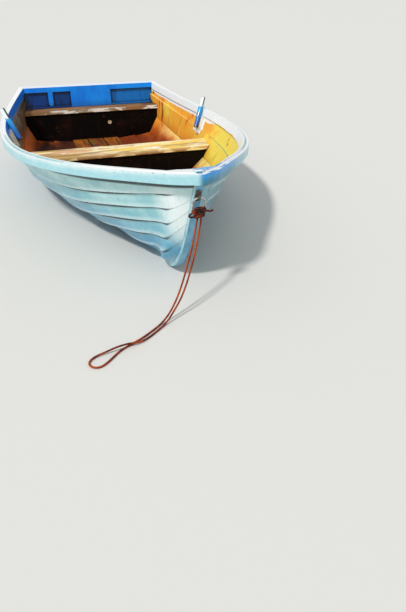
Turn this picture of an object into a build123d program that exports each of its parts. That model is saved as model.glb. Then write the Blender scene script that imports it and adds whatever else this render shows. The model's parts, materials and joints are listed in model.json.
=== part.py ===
from build123d import *
import math
import os

# An open clinker rowing boat: twelve lapped strakes on a stem, keel and raked transom.
# Millimetres, +Y aft, +X to port, +Z up from the bottom of the keel.

os.makedirs("parts", exist_ok=True)

# Driving dimensions
nose_y = -1300.0            # foremost point of the rubbing rail
stern_y = 1296.0            # after face of the transom at its top
sheer_bow = 621.0           # top of the planking above the keel bottom, at the stem
sheer_low = 402.7
sheer_stern = 450.0
sheer_low_share = 0.771     # where along the length the sheer is lowest
sheer_spring = 2.27         # power of its rise towards the bow
transom_rake = 10.0         # degrees

strake_count = 6            # on each side
plank_thickness = 9.0
plank_lap = 16.0
face_steps = 4              # flats across the rounded garboard
deepest_bevel = 0.75        # most of a plank edge that the bevel of its lap takes off
faded_lap = 0.12            # share of the plank edge left where a lap dies out at the stem
longest_bevel = 1.5         # most that a bevelled plank end is thicker than the plank
glue_gap = 0.35             # clearance between glued or fastened faces
fitting_gap = 0.6           # clearance of pieces fitted inside the planking
edge_gap = 0.9              # clearance of fitted pieces above the top edge of a plank

stem_siding = 32.0          # width of stem and keel
stem_outside = 22.0         # stem and keel proud of the planking
stem_inside = 38.0          # stem behind the planking
stem_head_drop = 2.0        # stem head below the top of the planking
stem_steps = 200            # points looked at along the stem's face
keel_drop = 1.0             # keel below the inner edge of the garboards
scarf_y = -620.0            # lower end of the scarf between stem and keel
scarf_run = 70.0            # its forward run over the height of the keel
knee_run = 60.0             # slope from the stem's inside down to the keel's top

rail_width = 14.0
rail_depth = 46.0
inwale_width = 10.0
inwale_depth = 45.0
breasthook_thickness = 30.0
breasthook_end_y = -1160.0
hook_share = 0.08           # share of the length that its planked edges take at most
breasthook_arch = 110.0     # radius of the hollow after edge
hook_horn = 18.0            # how far its ends reach aft of the hollow

transom_thickness = 20.0
top_rail_depth = 38.0
top_rail_thickness = 18.0
bottom_rail_depth = 14.0
pad_width = 300.0           # centre pad of the transom
pad_offset_x = 5.0
cleat_width = 34.0
cleat_length = 96.0
cleat_x = -293.0

thwart_top_z = 250.0
thwart_thickness = 24.0
thwart_front_y = 215.0
thwart_depth = 164.0
seat_top_z = 300.0
seat_thickness = 26.0
seat_front_y = 1151.0
riser_thickness = 16.0      # upright boards that carry the seats
riser_set_back = 10.0       # behind the seat edge
plug_diameter = 22.0
plug_x = 120.0
plug_z = 190.0
plug_flange = 3.0
plug_lip = 3.0

board_bottom_z = 62.0
board_thickness = 12.0
board_width = 108.0
board_seam = 10.0
board_count = 3
bearer_width = 40.0
bearer_half_length = 180.0
fore_board_y = -560.0
bearer_places = (-400.0, -60.0, 520.0, 920.0)

runner_width = 26.0         # bilge runners, level with the keel so that she stands upright
runner_x = 225.0
runner_from_y = -250.0
runner_to_y = 650.0

post_diameter = 32.0
post_y = 540.0              # where a post rests against the inwale
post_bottom_z = 297.0
post_length = 150.0         # up to the shoulder
post_neck_diameter = 30.0   # above the shoulder, where an oar's collar turns
post_neck_length = 62.0
post_lean_out = 24.0        # degrees
post_lean_aft = 25.0
post_round = 5.0
block_width = 95.0          # white blocks behind the posts
block_bottom_z = 255.0

runner_end_slope = 30.0     # degrees
eye_drop = 99.0             # eye of the mooring ring below the top of the planking
ring_radius = 30.0
ring_wire = 4.0             # radius of the ring's bar
eye_plate_width = 24.0
eye_plate_height = 60.0
eye_plate_thickness = 4.0
eye_radius = 8.5
eye_wire = 3.5
knot_height = 56.0
knot_radius = 36.0
knot_round = 18.0
strand_apart = 8.0          # each strand of the rope from the knot's middle
rope_diameter = 9.0
rope_gap = 3.0              # under the knot, at the middle of the rope
rope_share = 0.45           # share of the shorter run that an arc of the rope takes

far = 2000.0                # beyond the boat in every direction

# Body sections: share of the length, half breadth at the sheer, bottom of the garboard,
# rise of floor in degrees, fullness of the floor, flare in degrees, fullness of the topside,
# crowding of the lands towards the sheer (1 is none), sheer strake's share of the girth
sections = (
    (0.000, 0.0, 45.0, 90.0, 0.33, 0.0, 0.33, 0.46, 0.128),
    (0.020, 83.0, 36.0, 3.0, 0.19, 7.3, 0.49, 0.66, 0.166),
    (0.045, 137.5, 30.0, 2.5, 0.13, 10.6, 0.49, 0.70, 0.176),
    (0.080, 203.0, 26.0, 1.2, 0.19, 13.4, 0.51, 0.70, 0.188),
    (0.150, 336.0, 23.0, 0.5, 0.32, 16.7, 0.52, 0.69, 0.204),
    (0.250, 494.0, 22.0, 0.5, 0.44, 22.6, 0.53, 0.78, 0.218),
    (0.380, 625.5, 22.0, 2.0, 0.53, 28.5, 0.55, 0.89, 0.208),
    (0.520, 682.0, 22.0, 1.5, 0.62, 26.3, 0.57, 0.96, 0.190),
    (0.660, 680.0, 22.0, 1.3, 0.72, 19.6, 0.59, 1.00, 0.171),
    (0.800, 631.0, 25.0, 1.7, 0.81, 13.9, 0.62, 1.00, 0.153),
    (0.920, 555.3, 36.0, 2.9, 0.89, 8.7, 0.65, 1.00, 0.138),
    (1.000, 488.7, 48.0, 4.3, 0.97, 3.8, 0.68, 1.00, 0.126),
)

# Profile of the stem's outer face, a curve from its head to the keel bottom (aft of the nose, z)
stem_curve = ((12.0, 621.0), (117.0, 452.0), (203.0, 18.0), (488.0, 0.0))

plank_x = stem_siding / 2 + glue_gap
rake_slope = math.tan(math.radians(transom_rake))
transom_point = Vector(0, stern_y, sheer_stern)
transom_normal = Vector(0, math.cos(math.radians(transom_rake)), -math.sin(math.radians(transom_rake)))
upward = Vector(0, 0, 1)


def bezier(corners, share):
    """Point of a cubic curve between its first and last corner."""
    left = 1 - share
    weights = (left**3, 3 * left**2 * share, 3 * left * share**2, share**3)
    return sum((corner * weight for corner, weight in zip(corners, weights)), Vector())


def stem_face(share, inset=0.0):
    """Point on the stem's outer face, or inset from it, in the centre plane."""
    corners = [Vector(0, nose_y + aft, z) for aft, z in stem_curve]
    step = 0.001
    along = (bezier(corners, share + step) - bezier(corners, share - step)).normalized()
    return bezier(corners, share) + Vector(0, -along.Z, along.Y) * inset


rabbet = [stem_face(index / stem_steps, stem_outside) for index in range(stem_steps + 1)]


def rabbet_y(height):
    """Fore end of the planking at a height."""
    for upper, lower in zip(rabbet, rabbet[1:]):
        if lower.Z <= height:
            share = (upper.Z - height) / (upper.Z - lower.Z)
            return upper.Y + share * (lower.Y - upper.Y)
    return rabbet[-1].Y


def sheer_height(share):
    """Height of the planking's top edge at a share of the length."""
    if share < sheer_low_share:
        return sheer_low + (sheer_bow - sheer_low) * (1 - share / sheer_low_share) ** sheer_spring
    aft = (share - sheer_low_share) / (1 - sheer_low_share)
    return sheer_low + (sheer_stern - sheer_low) * aft**2


def body_curve(section):
    """Points along one body section from keel to sheer, and the girth up to each."""
    share, half_breadth, bottom, rise, floor, flare, side = section[:7]
    half_breadth = max(half_breadth, plank_x)
    keel_point = Vector(plank_x, 0, bottom)
    sheer_point = Vector(half_breadth, 0, sheer_height(share))
    chord = (sheer_point - keel_point).length
    rise, flare = math.radians(rise), math.radians(flare)
    corners = (
        keel_point,
        keel_point + Vector(math.cos(rise), 0, math.sin(rise)) * floor * chord,
        sheer_point - Vector(math.sin(flare), 0, math.cos(flare)) * side * chord,
        sheer_point,
    )
    points = []
    for index in range(121):
        point = bezier(corners, index / 120)
        aft_y = stern_y - rake_slope * (sheer_stern - point.Z)
        points.append(Vector(point.X, (1 - share) * rabbet_y(point.Z) + share * aft_y, point.Z))
    girths = [0.0]
    for first, second in zip(points, points[1:]):
        girths.append(girths[-1] + (second - first).length)
    return points, girths


def at_girths(section, girth_shares):
    """Points of a body section at shares of its girth."""
    points, girths = body_curve(section)
    marks = []
    for girth_share in girth_shares:
        wanted = girths[-1] * girth_share
        index = max(i for i, girth in enumerate(girths[:-1]) if girth <= wanted + 1e-9)
        part = (wanted - girths[index]) / (girths[index + 1] - girths[index])
        marks.append(points[index] + (points[index + 1] - points[index]) * part)
    return marks


def land_share(section, strake):
    """Share of the girth below the lower edge of a strake."""
    crowding, sheer_strake = section[7:]
    if strake == strake_count:
        return 1.0
    return (1 - sheer_strake) * (strake / (strake_count - 1)) ** crowding


def lands(section):
    """Points that divide the girth of one body section into strakes, keel to sheer."""
    return at_girths(section, [land_share(section, strake) for strake in range(strake_count + 1)])


def garboard_round(section):
    """Points between the edges of the garboard, which is rounded and the others are flat."""
    width = land_share(section, 1)
    return at_girths(section, [width * step / face_steps for step in range(1, face_steps)])


def line_point(line, share):
    """Point of a line that runs lengthways, at a share of the length."""
    return line.position_at(share, position_mode=PositionMode.PARAMETER)


def lengthways(points, marks):
    """A smooth line through points, at the shares of the length that are its marks."""
    return Edge.make_spline(list(points), parameters=marks)


table_shares = [section[0] for section in sections]
shares = [0.0]
for share in table_shares[1:]:
    shares += [(shares[-1] + share) / 2, share]
last = len(shares) - 1


def faired(points_of):
    """Points that a function gives for each section of the table, on smooth lines at all shares."""
    lines = [lengthways(line, table_shares) for line in zip(*map(points_of, sections))]
    return [[line_point(line, share) for line in lines] for share in shares]


land_points = faired(lands)
round_points = faired(garboard_round)


def run_direction(station, land):
    """Direction aft along a land at a station."""
    before, after = max(station - 1, 0), min(station + 1, last)
    return (land_points[after][land] - land_points[before][land]).normalized()


def to_plane(point, direction, plane_point, plane_normal):
    """The point slid along a direction into a plane."""
    return point + direction * ((plane_point - point).dot(plane_normal) / direction.dot(plane_normal))


def outward_from(station, along, upright):
    """Outward across a plank. At the stem and the transom it lies in the plane where planks end."""
    outward = along.cross(upright).normalized()
    if station == 0:
        outward = Vector(0, outward.Y, outward.Z)
    if station == last:
        outward -= transom_normal * outward.dot(transom_normal)
    return outward.normalized() * min(1 / outward.length, longest_bevel)


def lap_share(station):
    """Full laps along the boat, dying out near the stem."""
    full_from, faded_to = 0.09, 0.035
    share = (shares[station] - faded_to) / (full_from - faded_to)
    return faded_lap + (1 - faded_lap) * min(max(share, 0), 1)


def garboard_outside(station, outer):
    """Points across the garboard's outer face, from the keel to the bevel of its lap."""
    low, land = land_points[station][:2]
    points = [low]
    for step, point in enumerate(round_points[station], 1):
        points.append(point + (outer - land) * (step / face_steps))
    return points + [outer]


def garboard_inside(station, outside, along):
    """Points across the garboard's inner face, but for its upper corner."""
    points = []
    for step, (point, above) in enumerate(zip(outside, outside[1:])):
        before = outside[max(step - 1, 0)]
        upright = (above - before).normalized()
        thick = plank_thickness * (lap_share(station) + (1 - lap_share(station)) * step / face_steps)
        inner = point - outward_from(station, along, upright) * thick
        if step == 0 and station > 0:
            inner += upright * ((plank_x - inner.X) / upright.X)
        points.append(inner)
    return points


def plank_section(station):
    """Corners of all planks of the port side at one station, garboard first.

    Each plank has a lower inner, lower outer, upper outer, top and upper inner corner. Its face
    between upper outer corner and top is bevelled, so that the next plank up lies flat on it.
    """
    edge = plank_thickness * lap_share(station)
    planks = []
    above = None
    for strake in reversed(range(strake_count)):
        along = run_direction(station, strake) + run_direction(station, strake + 1)
        low = land_points[station][strake]
        if above is None:
            top = land_points[station][strake + 1]
            upright = (top - low).normalized()
            outer = top - upright * plank_lap
            full_width = (top - low).length
        else:
            lie = (above[1] - above[0]).normalized()
            outer = above[0] - outward_from(station, along, lie) * glue_gap
            face_start = garboard_outside(station, outer)[-2] if strake == 0 else low
            upright = (outer - face_start).normalized()
            bend = upright.cross(lie).length
            lap = min(plank_lap, deepest_bevel * plank_thickness / max(bend, 0.01))
            top = outer + lie * lap
            full_width = (top - low).dot(upright)
        outward = outward_from(station, along, upright)
        if strake > 0:
            above = (low - outward * edge, low + upright * full_width - outward * plank_thickness)
            planks.append((above[0], low, outer, top, above[1]))
    outside = garboard_outside(station, outer)
    under = outside[-2]
    inner_up = under + upright * (top - under).dot(upright) - outward * plank_thickness
    planks.append((garboard_inside(station, outside, along)[0], low, outer, top, inner_up))
    return planks[::-1]


plank_rows = [plank_section(station) for station in range(last + 1)]


def garboard_faces(station):
    """Points across the outer and the inner face of the garboard at a station, keel side first."""
    inner_low, low, outer, top, inner_up = plank_rows[station][0]
    outside = garboard_outside(station, outer)
    along = run_direction(station, 0) + run_direction(station, 1)
    return outside, garboard_inside(station, outside, along) + [inner_up]


def plank_corners(station, strake):
    """All corners of a plank at a station, in order round it."""
    if strake > 0:
        return plank_rows[station][strake]
    outside, inside = garboard_faces(station)
    return [inside[0], *outside, plank_rows[station][0][3], *inside[:0:-1]]


def closed_polygon(points):
    return Face(Wire.make_polygon(points, close=True))


def long_solid(rows, marks):
    """A solid that runs lengthways: its corners are smooth lines through the rows, its sides are
    ruled between neighbouring lines, and its two ends are flat."""
    count = len(rows[0])
    lines = [Edge.make_spline([row[i] for row in rows], parameters=marks) for i in range(count)]
    faces = [Face.make_surface_from_curves(lines[i], lines[(i + 1) % count]) for i in range(count)]
    faces += [closed_polygon(rows[0]), closed_polygon(rows[-1])]
    shell = Face.sew_faces(faces)[0]
    solid = Solid(Shell(shell))
    if solid.volume < 0:
        solid = Solid(solid.wrapped.Reversed())
    return solid


def mirrored(shape):
    return shape.mirror(Plane.YZ)


def save(name, shape):
    """Write one named piece."""
    solids = shape.solids()
    whole = solids[0] if len(solids) == 1 else Compound(children=solids)
    whole.label = name
    export_step(whole, f"parts/{name}.step")
    print(f"{name:28s} {len(solids)} {sum(solid.volume for solid in solids):12.0f}")


def block(low, high):
    """A box between two corners."""
    size = [b - a for a, b in zip(low, high)]
    return Pos(*low) * Box(*size, align=(Align.MIN, Align.MIN, Align.MIN))


def save_pair(name, port_shape, number=""):
    save(f"{name}_port{number}", port_shape)
    save(f"{name}_starboard{number}", mirrored(port_shape))


def half_space(plane_point, plane_normal):
    """A large block on the side of a plane that its normal points to."""
    plane = Plane(origin=plane_point, z_dir=plane_normal)
    return plane * Pos(0, 0, far) * Box(2 * far, 2 * far, 2 * far)


def transom_face(depth):
    """Point of the plane parallel to the transom, so far forward of its after face."""
    return transom_point - transom_normal * depth


# Strakes
planks = []
for strake in range(strake_count):
    plank = long_solid([plank_corners(station, strake) for station in range(last + 1)], shares)
    planks.append(plank)
    save_pair("strake", plank, f"_{strake + 1}")


def inner_section(station):
    """Corners of the space inside the port planking at a station, keel to sheer, with clearance."""
    corners = []
    for strake, (inner_low, low, outer, top, inner_up) in enumerate(plank_rows[station]):
        along = run_direction(station, strake) + run_direction(station, strake + 1)
        lie = (inner_up - inner_low).normalized()
        inward = outward_from(station, along, lie) * -fitting_gap
        start = below + inward + lie * edge_gap if strake > 0 else inner_low
        end = inner_up + inward + lie * edge_gap
        if strake == 0:
            corners += [point + inward for point in garboard_faces(station)[1][:-1]] + [end]
        else:
            corners += [start + (end - start) * (step / face_steps) for step in range(face_steps + 1)]
        below = top
    return corners


inner_rows = [inner_section(station) for station in range(last + 1)]
inner_lines = [lengthways(line, shares) for line in zip(*inner_rows)]


def cross_point(line, plane_point, plane_normal):
    """Where a line that runs lengthways meets a plane that faces aft."""
    low, high = 0.0, 1.0
    for _ in range(30):
        middle = (low + high) / 2
        point = line_point(line, middle)
        beyond = (point - plane_point).dot(plane_normal)
        if beyond < 0:
            low = middle
        else:
            high = middle
    return point - plane_normal * beyond


def inner_outline(plane_point, plane_normal=Vector(0, 1, 0)):
    """Outline of the space inside the planking in one plane, port side up and starboard down."""
    port = [cross_point(line, plane_point, plane_normal) for line in inner_lines]
    return port + [Vector(-point.X, point.Y, point.Z) for point in reversed(port)]


def inner_slice(from_y, to_y, spacing=120.0):
    """The space inside the planking between two heights of y, as one solid."""
    count = max(2, math.ceil((to_y - from_y) / spacing) + 1)
    places = [from_y + (to_y - from_y) * index / (count - 1) for index in range(count)]
    return long_solid([inner_outline(Vector(0, y, 0)) for y in places], places)


def transom_board(from_depth, to_depth):
    """A board across the inside of the planking, parallel to the transom."""
    rows = [inner_outline(transom_face(depth), transom_normal) for depth in (from_depth, to_depth)]
    return long_solid(rows, [0.0, 1.0])


# Stem and keel
keel_top = [Vector(0, row[0][0].Y, row[0][0].Z - keel_drop) for row in plank_rows]
stern_foot = Vector(0, stern_y - rake_slope * sheer_stern, 0)
inside_depth = stem_outside + stem_inside
stem_shares = [index / 12 for index in range(13)]
outer_curve = Edge.make_spline([stem_face(share) for share in stem_shares])
inner_curve = Edge.make_spline([stem_face(share, inside_depth) for share in stem_shares])
heel_top = next(point for point in keel_top if point.Y > scarf_y - scarf_run)
scarf_top = Vector(0, scarf_y - scarf_run, heel_top.Z)
scarf_bottom = Vector(0, scarf_y, 0)
foot, inner_foot, inner_head = outer_curve @ 1, inner_curve @ 1, inner_curve @ 0
knee_end = Vector(0, inner_foot.Y + knee_run, heel_top.Z)
head = outer_curve @ 0


def sided(profile, clearance=0.0):
    """A profile in the centre plane made as thick as the stem and keel."""
    return extrude(profile, amount=stem_siding / 2 + clearance, dir=(1, 0, 0), both=True)


stem_edges = [outer_curve, inner_curve]
for pair in ((foot, scarf_bottom), (scarf_bottom, scarf_top), (inner_foot, knee_end),
             (inner_head, head)):
    stem_edges.append(Edge.make_line(*pair))
if (scarf_top - knee_end).length > 1:
    stem_edges.append(Edge.make_line(scarf_top, knee_end))
stem = sided(Face(Wire(stem_edges)))
rail_bottom_z = sheer_bow - rail_depth
head_y = max(rabbet_y(height) for height in (sheer_bow, rail_bottom_z)) + 2 * glue_gap
stem -= block((-far, -far, sheer_bow - stem_head_drop), (far, far, far))
stem -= block((-far, -far, rail_bottom_z - stem_head_drop), (far, head_y, far))
save("stem", stem)

top_points = [scarf_top + Vector(0, glue_gap, 0)]
top_points += [point for point in keel_top if point.Y > scarf_y + 20]
keel_edges = [
    Edge.make_spline(top_points),
    Edge.make_line(keel_top[-1], stern_foot),
    Edge.make_line(stern_foot, scarf_bottom + Vector(0, glue_gap, 0)),
    Edge.make_line(scarf_bottom + Vector(0, glue_gap, 0), top_points[0]),
]
save("keel", sided(Face(Wire(keel_edges))))

# Transom with its inside rails, centre pad and cleat
save("transom_board", transom_board(transom_thickness, 0.0))
rail_from = transom_thickness + glue_gap
rail_to = rail_from + top_rail_thickness
lining = transom_board(rail_to, rail_from)
pad_from_x, pad_to_x = pad_offset_x - pad_width / 2, pad_offset_x + pad_width / 2
seat_line = seat_top_z + glue_gap
above_seat = lining - block((-far, 0, -far), (far, far, seat_line))
upper_band = half_space(transom_point - Vector(0, rake_slope, 1) * top_rail_depth, upward)
top_band = above_seat & upper_band
bottom_band = above_seat & block((-far, 0, seat_line), (far, far, seat_line + bottom_rail_depth))
for name, band in (("transom_top_rail", top_band), ("transom_bottom_rail", bottom_band)):
    save(f"{name}_port", band - block((-far, 0, 0), (pad_to_x + glue_gap, far, far)))
    save(f"{name}_starboard", band - block((pad_from_x - glue_gap, 0, 0), (far, far, far)))
save("transom_centre_pad", above_seat & block((pad_from_x, 0, 0), (pad_to_x, far, far)))
cleat_top_z = sheer_stern - top_rail_depth - glue_gap
cleat_bottom_z = cleat_top_z - cleat_length
round_z = cleat_bottom_z + cleat_width / 2
cleat_low_x, cleat_high_x = cleat_x - cleat_width / 2, cleat_x + cleat_width / 2
cleat_form = block((cleat_low_x, 0, round_z), (cleat_high_x, far, cleat_top_z))
cleat_form += Pos(cleat_x, far / 2, round_z) * Rot(90, 0, 0) * Cylinder(cleat_width / 2, far)
save("transom_cleat", lining & cleat_form)

# Rubbing rails, in one sweep round the nose and aft along the sheer
def level_out(station):
    """Level direction outboard at the sheer."""
    along = run_direction(station, strake_count)
    return Vector(along.Y, -along.X, 0).normalized()


nose_out = level_out(0)
sheer_start = land_points[0][-1]
nose_inner = sheer_start.X / nose_out.X + glue_gap
nose_centre = sheer_start - nose_out * (nose_inner - glue_gap)
rail_rows = []
for share in (0.0, 0.35, 0.7):
    turn = Vector(nose_out.X * share, nose_out.Y, 0).normalized()
    inner = nose_centre + turn * nose_inner
    rail_rows.append([inner, inner + turn * rail_width])
for station in range(last + 1):
    inner = land_points[station][-1] + level_out(station) * glue_gap
    rail_rows.append([inner, inner + level_out(station) * rail_width])
rail_corners = []
for index, (inner, outer) in enumerate(rail_rows):
    station = max(index - 3, 0)
    low, top = plank_rows[station][-1][1], plank_rows[station][-1][3]
    down = (low - top) * (rail_depth / (top.Z - low.Z))
    if index < 3:
        down = Vector(0, down.Y, -rail_depth)
    drop = Vector(0, 0, -rail_depth)
    corners = [inner, inner + down, outer + drop, outer]
    if station == last:
        along = run_direction(last, strake_count)
        corners = [to_plane(corner, along, transom_point, transom_normal) for corner in corners]
    rail_corners.append(corners)
rail_marks = [0.0]
for first, second in zip(rail_rows, rail_rows[1:]):
    rail_marks.append(rail_marks[-1] + (second[0] - first[0] + second[1] - first[1]).length)
rail = long_solid(rail_corners, rail_marks)
rail -= block((-far, -far, 0), (glue_gap, 0, far))
save_pair("rubbing_rail", rail)

# Breasthook between the fore ends of the planking, cut round the stem head
hook_rows = []
hook_count = sum(share <= hook_share for share in shares)
for station in range(hook_count):
    inner_low, inner_up = (inner_rows[station][-1 - face_steps], inner_rows[station][-1])
    down = (inner_low - inner_up) * (breasthook_thickness / (inner_up.Z - inner_low.Z))
    port = [inner_up, inner_up + down]
    hook_rows.append(port + [Vector(-point.X, point.Y, point.Z) for point in reversed(port)])
breasthook = long_solid(hook_rows, shares[:hook_count])
slot_curve = Edge.make_spline([stem_face(share, inside_depth + glue_gap) for share in stem_shares])
slot_head, slot_foot = slot_curve @ 0, slot_curve @ 1
slot_corners = (slot_foot, Vector(0, nose_y, slot_foot.Z), Vector(0, nose_y, slot_head.Z), slot_head)
slot_edges = [Edge.make_line(*pair) for pair in zip(slot_corners, slot_corners[1:])]
breasthook -= sided(Face(Wire([slot_curve, *slot_edges])), glue_gap)
arch = Pos(0, breasthook_end_y + breasthook_arch, 0) * Cylinder(breasthook_arch, far)
breasthook -= arch
breasthook &= block((-far, nose_y, 0), (far, breasthook_end_y + hook_horn, far))
save("breasthook", breasthook)

# Inwales, from the breasthook to the lining of the transom
inwale_rows = []
for station in range(1, last + 1):
    inner_low, inner_up = (inner_rows[station][-1 - face_steps], inner_rows[station][-1])
    down = (inner_low - inner_up) * (inwale_depth / (inner_up.Z - inner_low.Z))
    inward = level_out(station) * -inwale_width
    inwale_rows.append([inner_up, inner_up + inward, inner_up + inward + down, inner_up + down])
ends = ((0, 1, inwale_rows[0][0], Vector(0, 1, 0)), (-1, last, transom_point, transom_normal))
for row, station, plane_point, plane_normal in ends:
    along = run_direction(station, strake_count)
    inwale_rows[row] = [
        to_plane(corner, along, plane_point, plane_normal) for corner in inwale_rows[row]
    ]
inwale = long_solid(inwale_rows, shares[1:])
inwale -= block((-far, nose_y, 0), (far, breasthook_end_y + hook_horn + glue_gap, far))
inwale -= half_space(transom_face(rail_to + glue_gap), transom_normal)
save_pair("inwale", inwale)


def seat(name, top_z, thickness, from_y, to_y, end_cut=None):
    """A seat board fitted between the planks."""
    board = inner_slice(from_y, to_y) & block((-far, 0, top_z - thickness), (far, far, top_z))
    save(name, board - end_cut if end_cut else board)


def riser(name, face_y, under_z, hole=None):
    """An upright board under a seat, from the bottom planking to the seat's underside."""
    back_y = face_y + riser_thickness
    board = inner_slice(face_y, back_y) & block((-far, 0, -far), (far, far, under_z - glue_gap))
    save(name, board - hole if hole else board)


# Thwart on two risers
thwart_back_y = thwart_front_y + thwart_depth
under_thwart = thwart_top_z - thwart_thickness
fore_riser_y = thwart_front_y + riser_set_back
aft_riser_y = thwart_back_y - riser_set_back - riser_thickness
seat("thwart", thwart_top_z, thwart_thickness, thwart_front_y, thwart_back_y)
riser("thwart_front_riser", fore_riser_y, under_thwart)
riser("thwart_back_riser", aft_riser_y, under_thwart)

# Stern seat on one riser, with a plug in it
stern_reach_y = stern_y - rake_slope * (sheer_stern - seat_top_z)
under_seat = seat_top_z - seat_thickness
seat_riser_y = seat_front_y + riser_set_back
seat("stern_seat", seat_top_z, seat_thickness, seat_front_y, stern_reach_y,
     half_space(transom_face(transom_thickness + glue_gap), transom_normal))
hole_radius = plug_diameter / 2 + glue_gap
plug_hole = Pos(plug_x, seat_riser_y, plug_z) * Rot(90, 0, 0) * Cylinder(hole_radius, 4 * riser_thickness)
riser("stern_seat_riser", seat_riser_y, under_seat, plug_hole)
plug = Rot(90, 0, 0) * Cylinder(plug_diameter / 2, riser_thickness)
plug += Pos(0, -riser_thickness / 2 - plug_flange / 2 - glue_gap, 0) * Rot(90, 0, 0) * Cylinder(
    plug_diameter / 2 + plug_lip, plug_flange + 2 * glue_gap)
save("stern_seat_plug", Pos(plug_x, seat_riser_y + riser_thickness / 2, plug_z) * plug)

# Bottom boards on bearers, in two sets before and behind the thwart
def on_garboards(board):
    """A bearer or bottom board planed to the rounded garboards that it rests on."""
    board = board - planks[0] - mirrored(planks[0])
    return max(board.solids(), key=lambda solid: solid.volume)


bearer_top_z = board_bottom_z - glue_gap
for number, place in enumerate(bearer_places, 1):
    space = inner_slice(place, place + bearer_width)
    length = block((-bearer_half_length, -far, -far), (bearer_half_length, far, bearer_top_z))
    save(f"bearer_{number}", on_garboards(space & length))
board_pitch = board_width + board_seam
board_sets = (
    ("fore", fore_board_y, fore_riser_y - glue_gap),
    ("aft", aft_riser_y + riser_thickness + glue_gap, seat_riser_y - glue_gap),
)
for name, from_y, to_y in board_sets:
    space = inner_slice(from_y, to_y)
    for number in range(board_count):
        low_x = (number - board_count / 2) * board_pitch + board_seam / 2
        high_x = low_x + board_width
        board = block((low_x, -far, board_bottom_z), (high_x, far, board_bottom_z + board_thickness))
        save(f"bottom_board_{name}_{number + 1}", on_garboards(space & board))

# Bilge runners under the second strake, shaped to it on top
outer_lines = [
    lengthways([row[1][corner] for row in plank_rows], shares) for corner in (1, 2)
]
under_rows = []
runner_marks = [runner_from_y + (runner_to_y - runner_from_y) * index / 8 for index in range(9)]
for y in runner_marks:
    low, outer = [cross_point(line, Vector(0, y, 0), Vector(0, 1, 0)) for line in outer_lines]
    gap = Vector(0, 0, -glue_gap)
    raised = Vector(0, 0, plank_thickness * 4)
    under_rows.append([low + gap, outer + gap, outer + raised, low + raised])
hull_above = long_solid(under_rows, runner_marks)
runner = block(
    (runner_x - runner_width / 2, runner_from_y, 0), (runner_x + runner_width / 2, runner_to_y, far)
)
runner -= hull_above
runner = max(runner.solids(), key=lambda solid: -solid.center().Z)
slope = math.radians(runner_end_slope)
for end_y, way in ((runner_from_y, -1), (runner_to_y, 1)):
    runner -= half_space(
        Vector(runner_x, end_y, runner_width), Vector(0, way * math.sin(slope), -math.cos(slope)))
save_pair("bilge_runner", runner)

# Posts for the oars, leaning outboard against a block on the topside
leans = (math.tan(math.radians(post_lean_out)), math.tan(math.radians(post_lean_aft)))
axis = Vector(leans[0], leans[1], 1).normalized()
outboard = Vector(1, 0, 0)
aside = (outboard - axis * outboard.dot(axis)).normalized()
post_radius = post_diameter / 2
sheer_corner = cross_point(inner_lines[-1], Vector(0, post_y, 0), Vector(0, 1, 0))
touch = sheer_corner - outboard * (inwale_width + edge_gap)
touch = touch - aside * (post_radius + glue_gap)
foot_point = touch - axis * ((touch.Z - post_bottom_z) / axis.Z)
on_base = (Align.CENTER, Align.CENTER, Align.MIN)
post = Cylinder(post_radius, post_length, align=on_base)
post += Cylinder(post_neck_diameter / 2, post_length + post_neck_length, align=on_base)
post = fillet(post.edges().group_by(Axis.Z)[-1], post_round)
post = Plane(origin=foot_point, z_dir=axis) * post
save_pair("oar_post", post)
oar_block = inner_slice(post_y - block_width / 2, post_y + block_width / 2) & block(
    (0, 0, block_bottom_z), (far, far, sheer_corner.Z - inwale_depth - 3 * glue_gap))
oar_block -= half_space(foot_point + aside * (post_radius + glue_gap), aside * -1)
save_pair("oar_block", oar_block)

# Mooring ring on an eye plate, on the stem's face
face_shares = [index / stem_steps for index in range(stem_steps)]
eye_share = next(share for share in face_shares if stem_face(share).Z < sheer_bow - eye_drop)
plate_point = stem_face(eye_share)
plate_out = (plate_point - stem_face(eye_share, 1.0)).normalized()
face_plane = Plane(origin=plate_point + plate_out * glue_gap, x_dir=(1, 0, 0), z_dir=plate_out)
plate = Box(eye_plate_width, eye_plate_height, eye_plate_thickness, align=on_base)
plate = fillet(plate.edges().filter_by(Axis.Z), eye_plate_width / 2 - 1)
eye_reach = eye_plate_thickness + eye_radius + eye_wire - 1
eye = Pos(0, 0, eye_reach) * Rot(0, 90, 0) * Torus(eye_radius, eye_wire)
save("eye_plate", face_plane * (plate + eye))
eye_centre = face_plane.origin + plate_out * eye_reach
ring_centre = eye_centre + Vector(0, 0, -ring_radius)


def ring_shape(wire):
    return Pos(*ring_centre) * Rot(90, 0, 0) * Torus(ring_radius, wire)


save("mooring_ring", ring_shape(ring_wire))

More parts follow.
